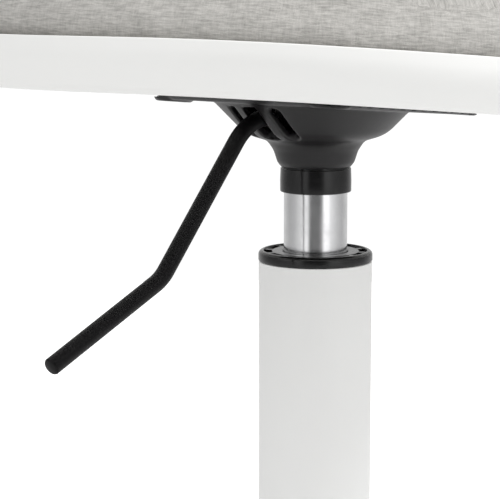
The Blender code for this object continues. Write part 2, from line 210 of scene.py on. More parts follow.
class Paint(Tree):
    """Shader nodes of one finish."""

    def __init__(self, material):
        super().__init__(material.node_tree)
        self.shader = material.node_tree.nodes["Principled BSDF"]

    def place(self, scale=(1.0, 1.0, 1.0), cloth=False):
        """Object coordinates, or the piece's own cloth map, each way times a scale."""
        if cloth:
            source = self.node("ShaderNodeUVMap", uv_map="cloth").outputs[0]
        else:
            source = self.node("ShaderNodeTexCoord").outputs["Object"]
        return self.node("ShaderNodeMapping", {"Vector": source, "Scale": scale}).outputs[0]

    def noise(self, scale, detail=2.0, roughness=0.5, over=None):
        """Noise from 0 to 1, over object coordinates unless others are given."""
        node = self.node("ShaderNodeTexNoise", {
            "Vector": over or self.place(), "Scale": scale, "Detail": detail,
            "Roughness": roughness})
        return Num(self, node.outputs[0])

    def contrast(self, value, low, high):
        """Stretch a number's low to high range to 0 to 1."""
        node = self.node("ShaderNodeMapRange", {
            "Value": value, "From Min": low, "From Max": high}, clamp=True)
        return Num(self, node.outputs[0])

    def blend(self, factor, low, high):
        """Mix two colours."""
        node = self.node("ShaderNodeMix", data_type="RGBA")
        sockets = {socket.identifier: socket for socket in node.inputs}
        self.feed(sockets["Factor_Float"], factor)
        for key, value in (("A_Color", low), ("B_Color", high)):
            self.feed(sockets[key], (*value, 1.0))
        return next(o for o in node.outputs if o.identifier == "Result_Color")

    def tint(self, factor, rgb, low, high):
        """Mix two shades of one colour."""
        return self.blend(factor, shade(rgb, low), shade(rgb, high))

    def bump(self, height, distance, under=None):
        """Relief of a given depth in metres, on top of another bump."""
        inputs = {"Height": height, "Distance": distance}
        if under is not None:
            inputs["Normal"] = under
        return self.node("ShaderNodeBump", inputs).outputs[0]

    def surface(self, **sockets):
        """Set the shader's sockets; an underscore stands for a space."""
        for name, value in sockets.items():
            self.feed(self.shader.inputs[name.replace("_", " ")], value)


def shade(rgb, factor):
    """A colour, darker or lighter by a factor."""
    return tuple(min(channel * factor, 1.0) for channel in rgb)


# ---------------------------------------------------------------- finishes
def white_enamel(paint, colours):
    """Powder coat: a fine orange peel, faint clouding and small pits in the gloss."""
    cloud = paint.noise(14, 3)
    peel = paint.noise(850, 2)
    grain = paint.noise(4200, 1)
    paint.surface(
        Base_Color=paint.tint(cloud, colours.enamel, 0.975, 1.015),
        Roughness=0.44 + 0.12 * paint.contrast(grain, 0.3, 0.7),
        Normal=paint.bump(grain, 4e-6, under=paint.bump(peel, 1.6e-5)))


def white_plastic(paint, colours):
    """Moulded shell: spark-eroded grain, faint flow clouds."""
    cloud = paint.noise(9, 3)
    grain = paint.noise(2600, 2)
    swell = paint.noise(120, 1)
    paint.surface(
        Base_Color=paint.tint(cloud, colours.shell, 0.98, 1.01),
        Roughness=0.36 + 0.10 * grain,
        Normal=paint.bump(grain, 7e-6, under=paint.bump(swell, 1.5e-5)))


def black_cast(paint, colours):
    """Painted casting: sand grain under satin paint, with thin spots on it."""
    sand = paint.noise(1500, 3, 0.6)
    lump = paint.noise(260, 2)
    spots = paint.contrast(paint.noise(520, 4, 0.7), 0.62, 0.78)
    paint.surface(
        Base_Color=paint.tint(spots, colours.casting, 1.0, 2.6),
        Roughness=0.36 + 0.12 * sand,
        Specular_IOR_Level=0.38,
        Normal=paint.bump(sand, 1.0e-5, under=paint.bump(lump, 2.5e-5)))


def black_rod(paint, colours):
    """Painted steel rod: smooth paint with dust nibs and rubbed patches."""
    nibs = paint.contrast(paint.noise(1900, 2), 0.70, 0.95)
    rubbed = paint.contrast(paint.noise(45, 4, 0.65), 0.45, 0.75)
    peel = paint.noise(300, 1)
    paint.surface(
        Base_Color=paint.tint(rubbed, colours.rod, 1.0, 1.4),
        Roughness=0.38 + 0.06 * rubbed,
        Specular_IOR_Level=0.15,
        Normal=paint.bump(nibs, 4e-7, under=paint.bump(peel, 2e-6)))


def black_plastic(paint, colours):
    """Moulded nylon: low gloss with fine rings from the tool, and scuffs."""
    rings = paint.noise(40, 2, over=paint.place((1.0, 1.0, 60.0)))
    scuffs = paint.contrast(paint.noise(260, 4, 0.7), 0.55, 0.75)
    grain = paint.noise(3000, 1)
    paint.surface(
        Base_Color=paint.tint(scuffs, colours.plastic, 1.0, 1.6),
        Roughness=0.18 + 0.06 * scuffs,
        Specular_IOR_Level=0.42,
        Normal=paint.bump(grain, 2e-6, under=paint.bump(rings, 4e-6)))


def black_rubber(paint, colours):
    """Matt rubber with bloom."""
    bloom = paint.contrast(paint.noise(35, 4), 0.4, 0.8)
    grain = paint.noise(1800, 2)
    paint.surface(
        Base_Color=paint.tint(bloom, colours.rubber, 1.0, 1.8),
        Roughness=0.78 + 0.15 * grain,
        Normal=paint.bump(grain, 3e-5))


def polished_steel(paint, colours):
    """Ground steel: fine rings around the tube, a few long scratches, oil haze."""
    rings = paint.noise(22, 3, 0.7, over=paint.place((1.0, 1.0, 220.0)))
    scratches = paint.noise(1.0, 2, over=paint.place((900.0, 900.0, 9.0)))
    haze = paint.contrast(paint.noise(95, 4, 0.6), 0.42, 0.78)
    paint.surface(
        Base_Color=paint.tint(haze, colours.steel, 1.0, 0.86),
        Metallic=1.0,
        Roughness=0.13 + 0.10 * haze + 0.05 * rings,
        Normal=paint.bump(paint.contrast(scratches, 0.68, 0.74), -3e-6, under=paint.bump(rings, 2.2e-6)))


def plain_steel(paint, colours):
    """Zinc-plated steel with crystals and a dull film."""
    film = paint.noise(160, 4, 0.6)
    grain = paint.noise(1400, 2)
    paint.surface(
        Base_Color=paint.tint(film, colours.steel, 0.58, 0.78),
        Metallic=1.0,
        Roughness=0.30 + 0.22 * film,
        Normal=paint.bump(grain, 1.2e-5))


def cast_iron(paint, colours):
    """Sand-cast ballast in black wash."""
    sand = paint.noise(700, 4, 0.7)
    wash = paint.noise(60, 3)
    paint.surface(
        Base_Color=paint.tint(wash, colours.rubber, 2.2, 5.0),
        Metallic=0.4,
        Roughness=0.60 + 0.25 * sand,
        Normal=paint.bump(sand, 1.2e-4))


def plywood(paint, colours):
    """Birch plywood: long grain on the faces, stacked veneers on the edge."""
    grain = paint.noise(1.0, 5, 0.65, over=paint.place((6.0, 90.0, 700.0)))
    rays = paint.contrast(paint.noise(1.0, 2, over=paint.place((40.0, 1500.0, 700.0))), 0.55, 0.8)
    paint.surface(
        Base_Color=paint.tint(grain, colours.wood, 0.72, 1.12),
        Roughness=0.58 + 0.16 * grain,
        Normal=paint.bump(rays, 4e-5, under=paint.bump(grain, 6e-5)))


def brass(paint, colours):
    """Turned brass with dull patches."""
    patches = paint.noise(220, 4, 0.6)
    rings = paint.noise(60, 1, over=paint.place((1.0, 1.0, 90.0)))
    paint.surface(
        Base_Color=paint.blend(patches, (0.58, 0.40, 0.17), (0.78, 0.60, 0.30)),
        Metallic=1.0,
        Roughness=0.24 + 0.20 * patches,
        Normal=paint.bump(rings, 6e-6))


def grey_fabric(paint, colours):
    """Plain-woven melange: two yarns crossing, slubs along both, and a soft nap."""
    threads = 1.0 / 0.00046
    long = 9.0
    across, along, _ = paint.split(paint.place((threads, threads, 1.0), cloth=True))
    sway = paint.noise(1.0, 2, over=paint.join(across / 9.0, along / 9.0, 4.4)) * 4.0
    u, v = across + sway, along - sway
    warp = paint.noise(1.0, 2, 0.6, over=paint.join(u, v / long, 0.0))
    weft = paint.noise(1.0, 2, 0.6, over=paint.join(u / long, v, 7.3))
    slub_u = paint.noise(1.0, 3, 0.6, over=paint.join(across / 11.0, along / 1.5, 3.1))
    slub_v = paint.noise(1.0, 2, over=paint.join(across / 1.7, along / 8.0, 5.7))
    mottle = paint.noise(1.0, 3, over=paint.join(across / 24.0, along / 9.0, 1.9))
    over = paint.math("SINE", u * math.pi) * paint.math("SINE", v * math.pi)
    woven = 0.5 + 0.5 * over
    yarns = warp * woven + weft * (1 - woven)
    tone = (paint.contrast(yarns, 0.34, 0.66) * 0.28
            + paint.contrast(slub_u, 0.36, 0.60) * 0.38
            + paint.contrast(slub_v, 0.34, 0.62) * 0.15
            + paint.contrast(mottle, 0.34, 0.64) * 0.19)
    relief = (paint.math("ABSOLUTE", over) * 0.40 + yarns * 0.45 + slub_u * 0.55)
    fuzz = paint.noise(5200, 2, over=paint.place(cloth=True))
    paint.surface(
        Base_Color=paint.blend(tone, colours.yarn_dark, colours.yarn_light),
        Roughness=0.90 + 0.08 * fuzz,
        Specular_IOR_Level=0.25,
        Sheen_Weight=0.25,
        Sheen_Roughness=0.55,
        Normal=paint.bump(fuzz, 4e-5, under=paint.bump(relief, 2.2e-4)))


FINISHES = {maker.__name__: maker for maker in (
    white_enamel, white_plastic, black_cast, black_rod, black_plastic, black_rubber,
    polished_steel, plain_steel, cast_iron, plywood, brass, grey_fabric)}


def finish(slot):
    """The material of one of the record's slots, made on first use."""
    name = f"finish_{slot}"
    material = bpy.data.materials.get(name)
    if material is None:
        material = bpy.data.materials.new(name)
        material.use_nodes = True
        FINISHES[slot](Paint(material), bpy.context.scene.stool_colours)
    return material


def coat(mesh, slot):
    """Give a whole mesh one finish."""
    mesh.materials.clear()
    mesh.materials.append(finish(slot))


# ---------------------------------------------------------------- outlines and meshes
def fillet(points, arc_steps=8):
    """Round an outline's corners: a point is (a, b) or (a, b, radius)."""
    outline = []
    for index, point in enumerate(points):
        corner = Vector(point[:2])
        radius = point[2] if len(point) > 2 else 0.0
        if radius <= 0.0:
            outline.append(corner)
            continue
        to_last = (Vector(points[index - 1][:2]) - corner).normalized()
        to_next = (Vector(points[(index + 1) % len(points)][:2]) - corner).normalized()
        half = to_last.angle(to_next) / 2
        centre = corner + (to_last + to_next).normalized() * radius / math.sin(half)
        start = corner + to_last * radius / math.tan(half) - centre
        end = corner + to_next * radius / math.tan(half) - centre
        for step in range(arc_steps + 1):
            blend = start.lerp(end, step / arc_steps)
            if blend.length > 1e-9:
                outline.append(centre + blend.normalized() * radius)
    return outline


def rounded_rectangle(half_x, half_y, radius, arc_steps=10):
    """Outline of a rounded rectangle about the origin."""
    corners = ((half_x, half_y), (-half_x, half_y), (-half_x, -half_y), (half_x, -half_y))
    return fillet([(x, y, radius) for x, y in corners], arc_steps)


def new_object(name, data):
    """Link a mesh, lamp or camera to the scene under a name."""
    obj = bpy.data.objects.new(name, data)
    bpy.context.scene.collection.objects.link(obj)
    return obj


def mesh_from(solid, mesh):
    """Put a bmesh into a mesh, with its faces pointing outwards."""
    bmesh.ops.recalc_face_normals(solid, faces=solid.faces)
    solid.to_mesh(mesh)
    solid.free()
    return mesh


def point_outwards(mesh):
    """Recalculate a closed mesh's normals in place."""
    solid = bmesh.new()
    solid.from_mesh(mesh)
    mesh_from(solid, mesh)


def soften(mesh, degrees=32):
    """Shade smooth, with edges sharper than an angle kept."""
    mesh.shade_smooth()
    mesh.set_sharp_from_angle(angle=math.radians(degrees))


def settle(obj):
    """Apply an object's modifiers to its mesh and remove them."""
    graph = bpy.context.evaluated_depsgraph_get()
    baked = bpy.data.meshes.new_from_object(obj.evaluated_get(graph), depsgraph=graph)
    obj.modifiers.clear()
    obj.data = baked
    return obj


def add_voxels(obj, size):
    """Add a modifier that rebuilds an object's surface from small cubes."""
    remesh = obj.modifiers.new("voxels", "REMESH")
    remesh.mode = "VOXEL"
    remesh.voxel_size = size


def prism(outline, low, high):
    """Extrude an outline in millimetres from low to high."""
    solid = bmesh.new()
    bottom = [solid.verts.new((x * MM, y * MM, low * MM)) for x, y in outline]
    face = solid.faces.new(bottom)
    raised = bmesh.ops.extrude_face_region(solid, geom=[face])
    verts = [item for item in raised["geom"] if isinstance(item, bmesh.types.BMVert)]
    bmesh.ops.translate(solid, verts=verts, vec=(0, 0, (high - low) * MM))
    return mesh_from(solid, bpy.data.meshes.new("prism"))


def combine(obj, steps):
    """Join meshes to an object, or cut them from it: steps of (operation, mesh)."""
    helpers = []
    for number, (operation, mesh) in enumerate(steps):
        helper = new_object(f"{obj.name}_helper_{number}", mesh)
        helpers.append(helper)
        modifier = obj.modifiers.new(helper.name, "BOOLEAN")
        modifier.operation = operation
        modifier.object = helper
    settle(obj)
    for helper in helpers:
        bpy.data.objects.remove(helper)
    return obj


def moved(mesh, matrix):
    """A mesh after a transform."""
    mesh.transform(matrix)
    return mesh


def shift(x, y, z=0.0):
    """Translation in millimetres."""
    return Matrix.Translation(Vector((x, y, z)) * MM)


def underside(x, y):
    """Height of the flange's underside, which thins the flange away from the lever."""
    height, rise_x, rise_y = UNDERSIDE
    return height + rise_x * x + rise_y * y


def bolt_places(sizes):
    """Where the plate's bolts are, in millimetres across and along the seat."""
    offset = sizes.bolt_offset / MM
    return [(x * offset, y * offset) for x, y in ((1, -1), (-1, -1), (-1, 1), (1, 1))]


def tilt_matrix(sizes):
    """Leans seat pieces from their own square frame into the stool's."""
    pivot = Vector((0, 0, RING_TOP + sizes.plate_rise))
    return Matrix.Translation(pivot) @ Matrix.Rotation(-sizes.seat_tilt, 4, "X")


# ---------------------------------------------------------------- geometry node trees
def geometry_tree(name, inputs):
    """A new geometry tree with named inputs; returns its builder and its inputs."""
    tree = bpy.data.node_groups.new(name, "GeometryNodeTree")
    tree.interface.new_socket("Geometry", in_out="INPUT", socket_type="NodeSocketGeometry")
    for label, kind in inputs:
        tree.interface.new_socket(label, in_out="INPUT", socket_type=f"NodeSocket{kind}")
    tree.interface.new_socket("Geometry", in_out="OUTPUT", socket_type="NodeSocketGeometry")
    build = Tree(tree)
    outputs = build.node("NodeGroupInput").outputs
    return build, {socket.name: Num(build, socket) for socket in outputs}


def end_tree(build, geometry, material):
    """End a tree in Realize Instances and Set Material."""
    real = build.node("GeometryNodeRealizeInstances", {0: geometry})
    painted = build.node("GeometryNodeSetMaterial", {0: real.outputs[0], "Material": material})
    build.node("NodeGroupOutput", {0: painted.outputs[0]})
    return build.tree


def run_tree(obj, tree, values):
    """Put a tree on an object with its inputs set by identifier, and bake it."""
    modifier = obj.modifiers.new(tree.name, "NODES")
    modifier.node_group = tree
    for item in tree.interface.items_tree:
        if item.item_type == "SOCKET" and item.in_out == "INPUT" and item.name in values:
            modifier[item.identifier] = values[item.name]
    return settle(obj)


def turned_tree():
    """Turns the object's own points, a closed outline in order, about Z.

    Past Dip Start, as a share of Outer Radius, the surface dips towards -Y by Dip.
    """
    tree = bpy.data.node_groups.get("Turned Piece")
    if tree is not None:
        return tree
    build, given = geometry_tree("Turned Piece", [
        ("Steps", "Int"), ("Outer Radius", "Float"), ("Dip", "Float"),
        ("Dip Width", "Float"), ("Dip Start", "Float"), ("Material", "Material")])
    size = build.node("GeometryNodeAttributeDomainSize", {0: given["Geometry"]},
                      component="MESH")
    count = Num(build, size.outputs["Point Count"])
    sheet = build.node("GeometryNodeMeshGrid", {
        "Size X": 1.0, "Size Y": 1.0,
        "Vertices X": given["Steps"] + 1, "Vertices Y": count + 1})
    across, along, _ = build.split(build.position())
    angle = (across + 0.5) * math.tau
    row = build.math("FLOORED_MODULO", build.math("ROUND", (along + 0.5) * count), count)
    outline = build.node("GeometryNodeSampleIndex", {
        "Geometry": given["Geometry"], "Value": build.position(), "Index": row},
        data_type="FLOAT_VECTOR")
    radius, _, height = build.split(outline.outputs[0])

    start = given["Dip Start"]
    reach = build.math("ADD", (radius / given["Outer Radius"] - start) / (1 - start), 0.0,
                       clamp=True)
    x = radius * build.math("COSINE", angle)
    y = radius * build.math("SINE", angle)
    turn = build.math("ARCTAN2", x, y * -1)
    bell = build.math("EXPONENT", (turn / given["Dip Width"]) ** 2 * -1)
    dipped = height - given["Dip"] * reach * reach * bell
    wrapped = build.node("GeometryNodeSetPosition",
                         {"Geometry": sheet.outputs[0], "Position": build.join(x, y, dipped)})
    merged = build.node("GeometryNodeMergeByDistance",
                        {"Geometry": wrapped.outputs[0], "Distance": 2e-6})
    return end_tree(build, merged.outputs[0], given["Material"])


def turned(name, outline, steps, slot, dip=0.0, outer=1.0, arc_steps=8):
    """One turned piece from a closed outline in millimetres."""
    points = [(r * MM, 0.0, z * MM) for r, z in fillet(outline, arc_steps)]
    mesh = bpy.data.meshes.new(name)
    mesh.from_pydata(points, [], [])
    obj = run_tree(new_object(name, mesh), turned_tree(), {
        "Steps": steps, "Outer Radius": outer, "Dip": dip, "Dip Width": 0.4,
        "Dip Start": 0.5, "Material": finish(slot)})
    point_outwards(obj.data)
    soften(obj.data)
    return obj


def turned_mesh(outline, steps, arc_steps=8):
    """Mesh of a turned piece, for joining or cutting."""
    obj = turned("turned_helper", outline, steps, "plain_steel", arc_steps=arc_steps)
    mesh = obj.data
    bpy.data.objects.remove(obj)
    return mesh


def ring_of_blocks_tree():
    """Sets the object's own mesh, a block at the centre, around a circle."""
    build, given = geometry_tree("Ring Of Blocks", [
        ("Count", "Int"), ("Radius", "Float"), ("Height", "Float"), ("Material", "Material")])
    circle = build.node("GeometryNodeMeshCircle",
                        {"Vertices": given["Count"], "Radius": given["Radius"]})
    lifted = build.node("GeometryNodeTransform", {
        "Geometry": circle.outputs[0], "Translation": build.join(z=given["Height"])})
    x, y, _ = build.split(build.position())
    turn = build.node("FunctionNodeEulerToRotation",
                      {0: build.join(z=build.math("ARCTAN2", y, x))})
    blocks = build.node("GeometryNodeInstanceOnPoints", {
        "Points": lifted.outputs[0], "Instance": given["Geometry"],
        "Rotation": turn.outputs[0]})
    return end_tree(build, blocks.outputs[0], given["Material"])


def four_places_tree():
    """Copies the object's own mesh to the corners of a square on a sloping face."""
    build, given = geometry_tree("Four Places", [
        ("Offset", "Float"), ("Height", "Float"), ("Rise X", "Float"), ("Rise Y", "Float"),
        ("Material", "Material")])
    side = given["Offset"] * 2
    square = build.node("GeometryNodeMeshGrid", {
        "Size X": side, "Size Y": side, "Vertices X": 2, "Vertices Y": 2})
    x, y, _ = build.split(build.position())
    lift = x * given["Rise X"] + y * given["Rise Y"] + given["Height"]
    placed = build.node("GeometryNodeSetPosition", {
        "Geometry": square.outputs[0], "Offset": build.join(z=lift)})
    copies = build.node("GeometryNodeInstanceOnPoints", {
        "Points": placed.outputs[0], "Instance": given["Geometry"]})
    return end_tree(build, copies.outputs[0], given["Material"])


def bent_bar_tree():
    """Sweeps a round bar along the object's own edges, with a chamfer on the far end."""
    build, given = geometry_tree("Bent Bar", [
        ("Radius", "Float"), ("Chamfer", "Float"), ("Sides", "Int"), ("Material", "Material")])
    cut = build.node("GeometryNodeInputNamedAttribute", {"Name": "end_cut"},
                     data_type="FLOAT").outputs[0]
    line = build.node("GeometryNodeMeshToCurve", {0: given["Geometry"]})
    radius = given["Radius"] - given["Chamfer"] * cut
    section = build.node("GeometryNodeCurvePrimitiveCircle",
                         {"Resolution": given["Sides"], "Radius": 1.0})
    bar = build.node("GeometryNodeCurveToMesh", {
        "Curve": line.outputs[0], "Profile Curve": section.outputs[0], "Scale": radius,
        "Fill Caps": True})
    return end_tree(build, bar.outputs[0], given["Material"])


# ---------------------------------------------------------------- operators
class StoolOperator(bpy.types.Operator):
    """Shared by the stool's operators: running, and how a finished piece joins the frame."""

    bl_options = {"REGISTER", "UNDO"}

    def execute(self, context):
        self.build(context.scene.stool_sizes)
        return {"FINISHED"}

    @staticmethod
    def install(obj, body, slot, *nodes):
        """Ride a piece on its body and hide what it stands for."""
        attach(obj, body)
        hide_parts(*nodes)


class STOOL_OT_base(StoolOperator):
    """Pressed base cover and the rubber ring it stands on"""

    bl_idname, bl_label = "stool.base", "Base"

    def build(self, sizes):
        radius = sizes.base_radius / MM
        low = 4.3
        outer = [(radius, low), (radius, 9, 5), (170, 15, 60), (60, 26, 60), (34, 44, 14),
                 (30.9, 58, 0.5)]
        inner = [(30.9 - SHEET, 58, 0.5), (34 - SHEET, 44, 14), (60, 26 - SHEET, 60),
                 (170, 15 - SHEET, 60), (radius - SHEET, 9 - SHEET, 3), (radius - SHEET, low)]
        cover = turned("base_pressing", outer + inner, sizes.steps, "white_enamel", arc_steps=10)
        self.install(cover, "base", "white_enamel", "base_cover")
        ribs = [(184, 0.6), (186, 0.6), (186.6, 0, 0.3), (189.4, 0, 0.3), (190, 0.6),
                (192.6, 0.6), (193.2, 0, 0.3), (199, 0, 1.5), (199, 4, 1.5), (184, 4)]
        ring = turned("floor_gasket", ribs, sizes.steps, "black_rubber", arc_steps=4)
        self.install(ring, "base", "black_rubber", "floor_ring")


class STOOL_OT_column(StoolOperator):
    """White column and the black guide ring in its mouth"""

    bl_idname, bl_label = "stool.column", "Column and guide ring"

    def build(self, sizes):
        outer = sizes.column_radius / MM
        inner = outer - SHEET
        top = RING_TOP / MM
        shaft = turned("column_shaft", [(inner, 5), (outer, 5, 0.3), (outer, top - 4.8, 0.4),
                                        (inner, top - 4.8)], sizes.steps // 2, "white_enamel")
        self.install(shaft, "base", "white_enamel", "column_tube")

        bore = sizes.tube_radius / MM + TUBE_GAP
        ring = turned("column_guide", [
            (bore, top - 70), (inner - 0.3, top - 70), (inner - 0.3, top - 4.5),
            (outer + 0.2, top - 4.5, 0.4), (outer + 0.2, top, 1.9), (22.9, top, 0.25),
            (22.4, top - 1.8, 0.2), (19.6, top - 1.8, 0.2), (19.2, top - 0.4, 0.25),
            (bore, top - 0.4, 0.8)], sizes.steps // 2, "black_plastic")
        self.install(ring, "base", "black_plastic", "guide_ring")

        block = prism(rounded_rectangle(1.75, 1.1, 0.4, 3), -1.5, 0.0)
        blocks = run_tree(new_object("guide_bridges", block), ring_of_blocks_tree(), {
            "Count": 12, "Radius": 21.0 * MM, "Height": RING_TOP - 0.5 * MM,
            "Material": finish("black_plastic")})
        soften(blocks.data)
        self.install(blocks, "base", "black_plastic")


class STOOL_OT_gas_lift(StoolOperator):
    """Bright tube of the gas spring, with the collar under the plate's neck"""

    bl_idname, bl_label = "stool.gas_lift", "Gas lift"

    def build(self, sizes):
        outer = sizes.tube_radius / MM
        inner = outer - 1.5
        low, high = (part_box("pressure_tube")[end].z / MM for end in (0, 1))
        tube = turned("lift_tube", [
            (inner, low), (outer, low, 0.8), (outer, high, 1), (4.2, high, 0.4),
            (4.2, high - 2), (inner, high - 2)], sizes.steps // 2, "polished_steel")
        self.install(tube, "seat", "polished_steel", "pressure_tube")
        low, high = (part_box("collar")[end].z / MM for end in (0, 1))
        bore = outer + TUBE_GAP
        collar = turned("neck_collar", [
            (bore, low, 0.3), (15.65, low, 0.5), (15.7, low + 5.0), (15.5, high, 0.45),
            (bore + 0.8, high), (bore + 0.8, high + 0.35), (bore, high + 0.35)],
            sizes.steps // 2, "black_plastic")
        self.install(collar, "seat", "black_plastic", "collar")


class STOOL_OT_mount_plate(StoolOperator):
    """Cast mount plate: neck, bowl with three slots, and tilted flange"""

    bl_idname, bl_label = "stool.mount_plate", "Mount plate"

    def build(self, sizes):
        tilt = tilt_matrix(sizes)
        z = RING_TOP / MM
        bore = sizes.tube_radius / MM + TUBE_GAP
        outer = [(bore, z + 37.0), (15.4, z + 37.0, 0.8), (17.0, z + 39.2, 2),
                 (18.6, z + 44.2, 6), (21.5, z + 48.6, 5), (31.0, z + 51.5, 16),
                 (44.5, z + 65.3), (50, z + 72), (bore, z + 72)]
        plate = new_object("plate_casting", turned_mesh(outer, 144))
        flange = prism(rounded_rectangle(54.6, 54.6, 18), 0, 3)
        for vertex in flange.vertices:
            if vertex.co.z < MM:
                vertex.co.xy *= FLANGE_DRAFT
                vertex.co.z = underside(vertex.co.x / MM, vertex.co.y / MM) * MM
        steps = [("UNION", moved(flange, tilt))]
        for x, y in bolt_places(sizes):
            corner = tilt @ shift(x, y, underside(x, y))
            drop = 0.9 if x + y < 0 else 0.1
            boss = turned_mesh([(0, -drop), (7.6, -drop), (9, 0.8), (0, 0.8)], 48)
            hole = turned_mesh(
                [(0, -3), (5.1, -3), (5.1, -0.6), (3.4, 1.3), (3.4, 6), (0, 6)], 32)
            steps += [("UNION", moved(boss, corner)), ("DIFFERENCE", moved(hole, corner))]
        steps.append(("DIFFERENCE", moved(prism(rounded_rectangle(80, 80, 5), 3, 30), tilt)))
        hollow = [(0, z + 54.0), (28.2, z + 54.0), (40.2, z + 64.7), (40.2, z + 75), (0, z + 75)]
        steps.append(("DIFFERENCE", turned_mesh(hollow, 96)))
        middle, half_length = SLOT_REACH
        for place, half_width in SLOTS:
            slot = prism([(x + place, y - middle)
                          for x, y in rounded_rectangle(half_width, half_length, 2.4)], -14, -0.6)
            steps.append(("DIFFERENCE", moved(slot, tilt)))
        combine(plate, steps)

        add_voxels(plate, 0.0007)
        smooth = plate.modifiers.new("cast_edges", "SMOOTH")
        smooth.factor = 0.5
        smooth.iterations = 3
        settle(plate)
        coat(plate.data, "black_cast")
        plate.data.shade_smooth()
        self.install(plate, "seat", "black_cast", "mount_plate")


class STOOL_OT_plate_bolts(StoolOperator):
    """Four countersunk bolts, up through the plate into the seat board"""

    bl_idname, bl_label = "stool.plate_bolts", "Plate bolts"

    def build(self, sizes):
        bolts = new_object("plate_bolts", turned_mesh(
            [(0, -0.1), (4.3, -0.1, 0.1), (4.3, 0.1), (3, 1.4), (3, 15, 0.5), (0, 15)], 32, 4))
        hexagon = [(2.0 * math.cos(step * math.pi / 3), 2.0 * math.sin(step * math.pi / 3))
                   for step in range(6)]
        combine(bolts, [("DIFFERENCE", prism(hexagon, -1.5, 1.4))])
        height, rise_x, rise_y = UNDERSIDE
        run_tree(bolts, four_places_tree(), {
            "Offset": sizes.bolt_offset, "Height": height * MM, "Rise X": rise_x,
            "Rise Y": rise_y, "Material": finish("black_rod")})
        bolts.data.transform(tilt_matrix(sizes))
        point_outwards(bolts.data)
        soften(bolts.data)
        self.install(bolts, "seat", "black_rod",
                     *(f"plate_bolt_{number}" for number in range(1, 5)))


class STOOL_OT_lever(StoolOperator):
    """Bent lever rod that leaves the bowl through the middle slot"""

    bl_idname, bl_label = "stool.lever", "Lever"

    def build(self, sizes):
        chamfer = 0.8
        ring = RING_TOP / MM
        route = fillet([(-5, 60.4), (44.2, 60.4, 26), (96.9, -1.2, 18), (158, -28.2)], 24)
        back = (route[-2] - route[-1]).normalized()
        stations = [(point, 0.0) for point in route[:-1]]
        stations += [(route[-1] + back * chamfer, 0.0), (route[-1] + back * chamfer * 0.3, 0.45),
                     (route[-1], 1.0)]
        mesh = bpy.data.meshes.new("release_lever")
        mesh.from_pydata([(0.0, -out * MM, (ring + up) * MM) for (out, up), _ in stations],
                         [(index, index + 1) for index in range(len(stations) - 1)], [])
        cut = mesh.attributes.new("end_cut", "FLOAT", "POINT")
        cut.data.foreach_set("value", [value for _, value in stations])
        lever = run_tree(new_object("release_lever", mesh), bent_bar_tree(), {
            "Radius": sizes.lever_radius, "Chamfer": chamfer * MM, "Sides": 40,
            "Material": finish("black_rod")})
        point_outwards(lever.data)
        soften(lever.data)
        self.install(lever, "lever", "black_rod", "lever_rod")


class STOOL_OT_seat_shell(StoolOperator):
    """White moulded shell of the seat, with its upright rim"""

    bl_idname, bl_label = "stool.seat_shell", "Seat shell"

    def build(self, sizes):
        tilt = tilt_matrix(sizes)
        radius = sizes.seat_radius / MM
        floor = SHELL_FLOOR
        top = floor + sizes.rim_height / MM
        inside = radius - 4.2
        flat = radius / 2
        shell = turned("shell_moulding", [
            (0, floor), (flat, floor), (130, floor), (radius - 8, floor, 7),
            (radius, floor + 11, 14), (radius - 1.3, top, 0.6), (inside, top, 1.3),
            (inside, floor + 3.5, 3), (130, floor + 3.5), (flat, floor + 3.5),
            (0, floor + 3.5)], sizes.steps, "white_plastic", dip=sizes.rim_dip,
            outer=sizes.seat_radius)
        hole = [(0, 1), (3.4, 1), (3.4, 9), (0, 9)]
        combine(shell, [("DIFFERENCE", moved(turned_mesh(hole, 32), shift(x, y)))
                        for x, y in bolt_places(sizes)])
        coat(shell.data, "white_plastic")
        shell.data.transform(tilt)
        soften(shell.data)
        self.install(shell, "seat", "white_plastic", "seat_shell")


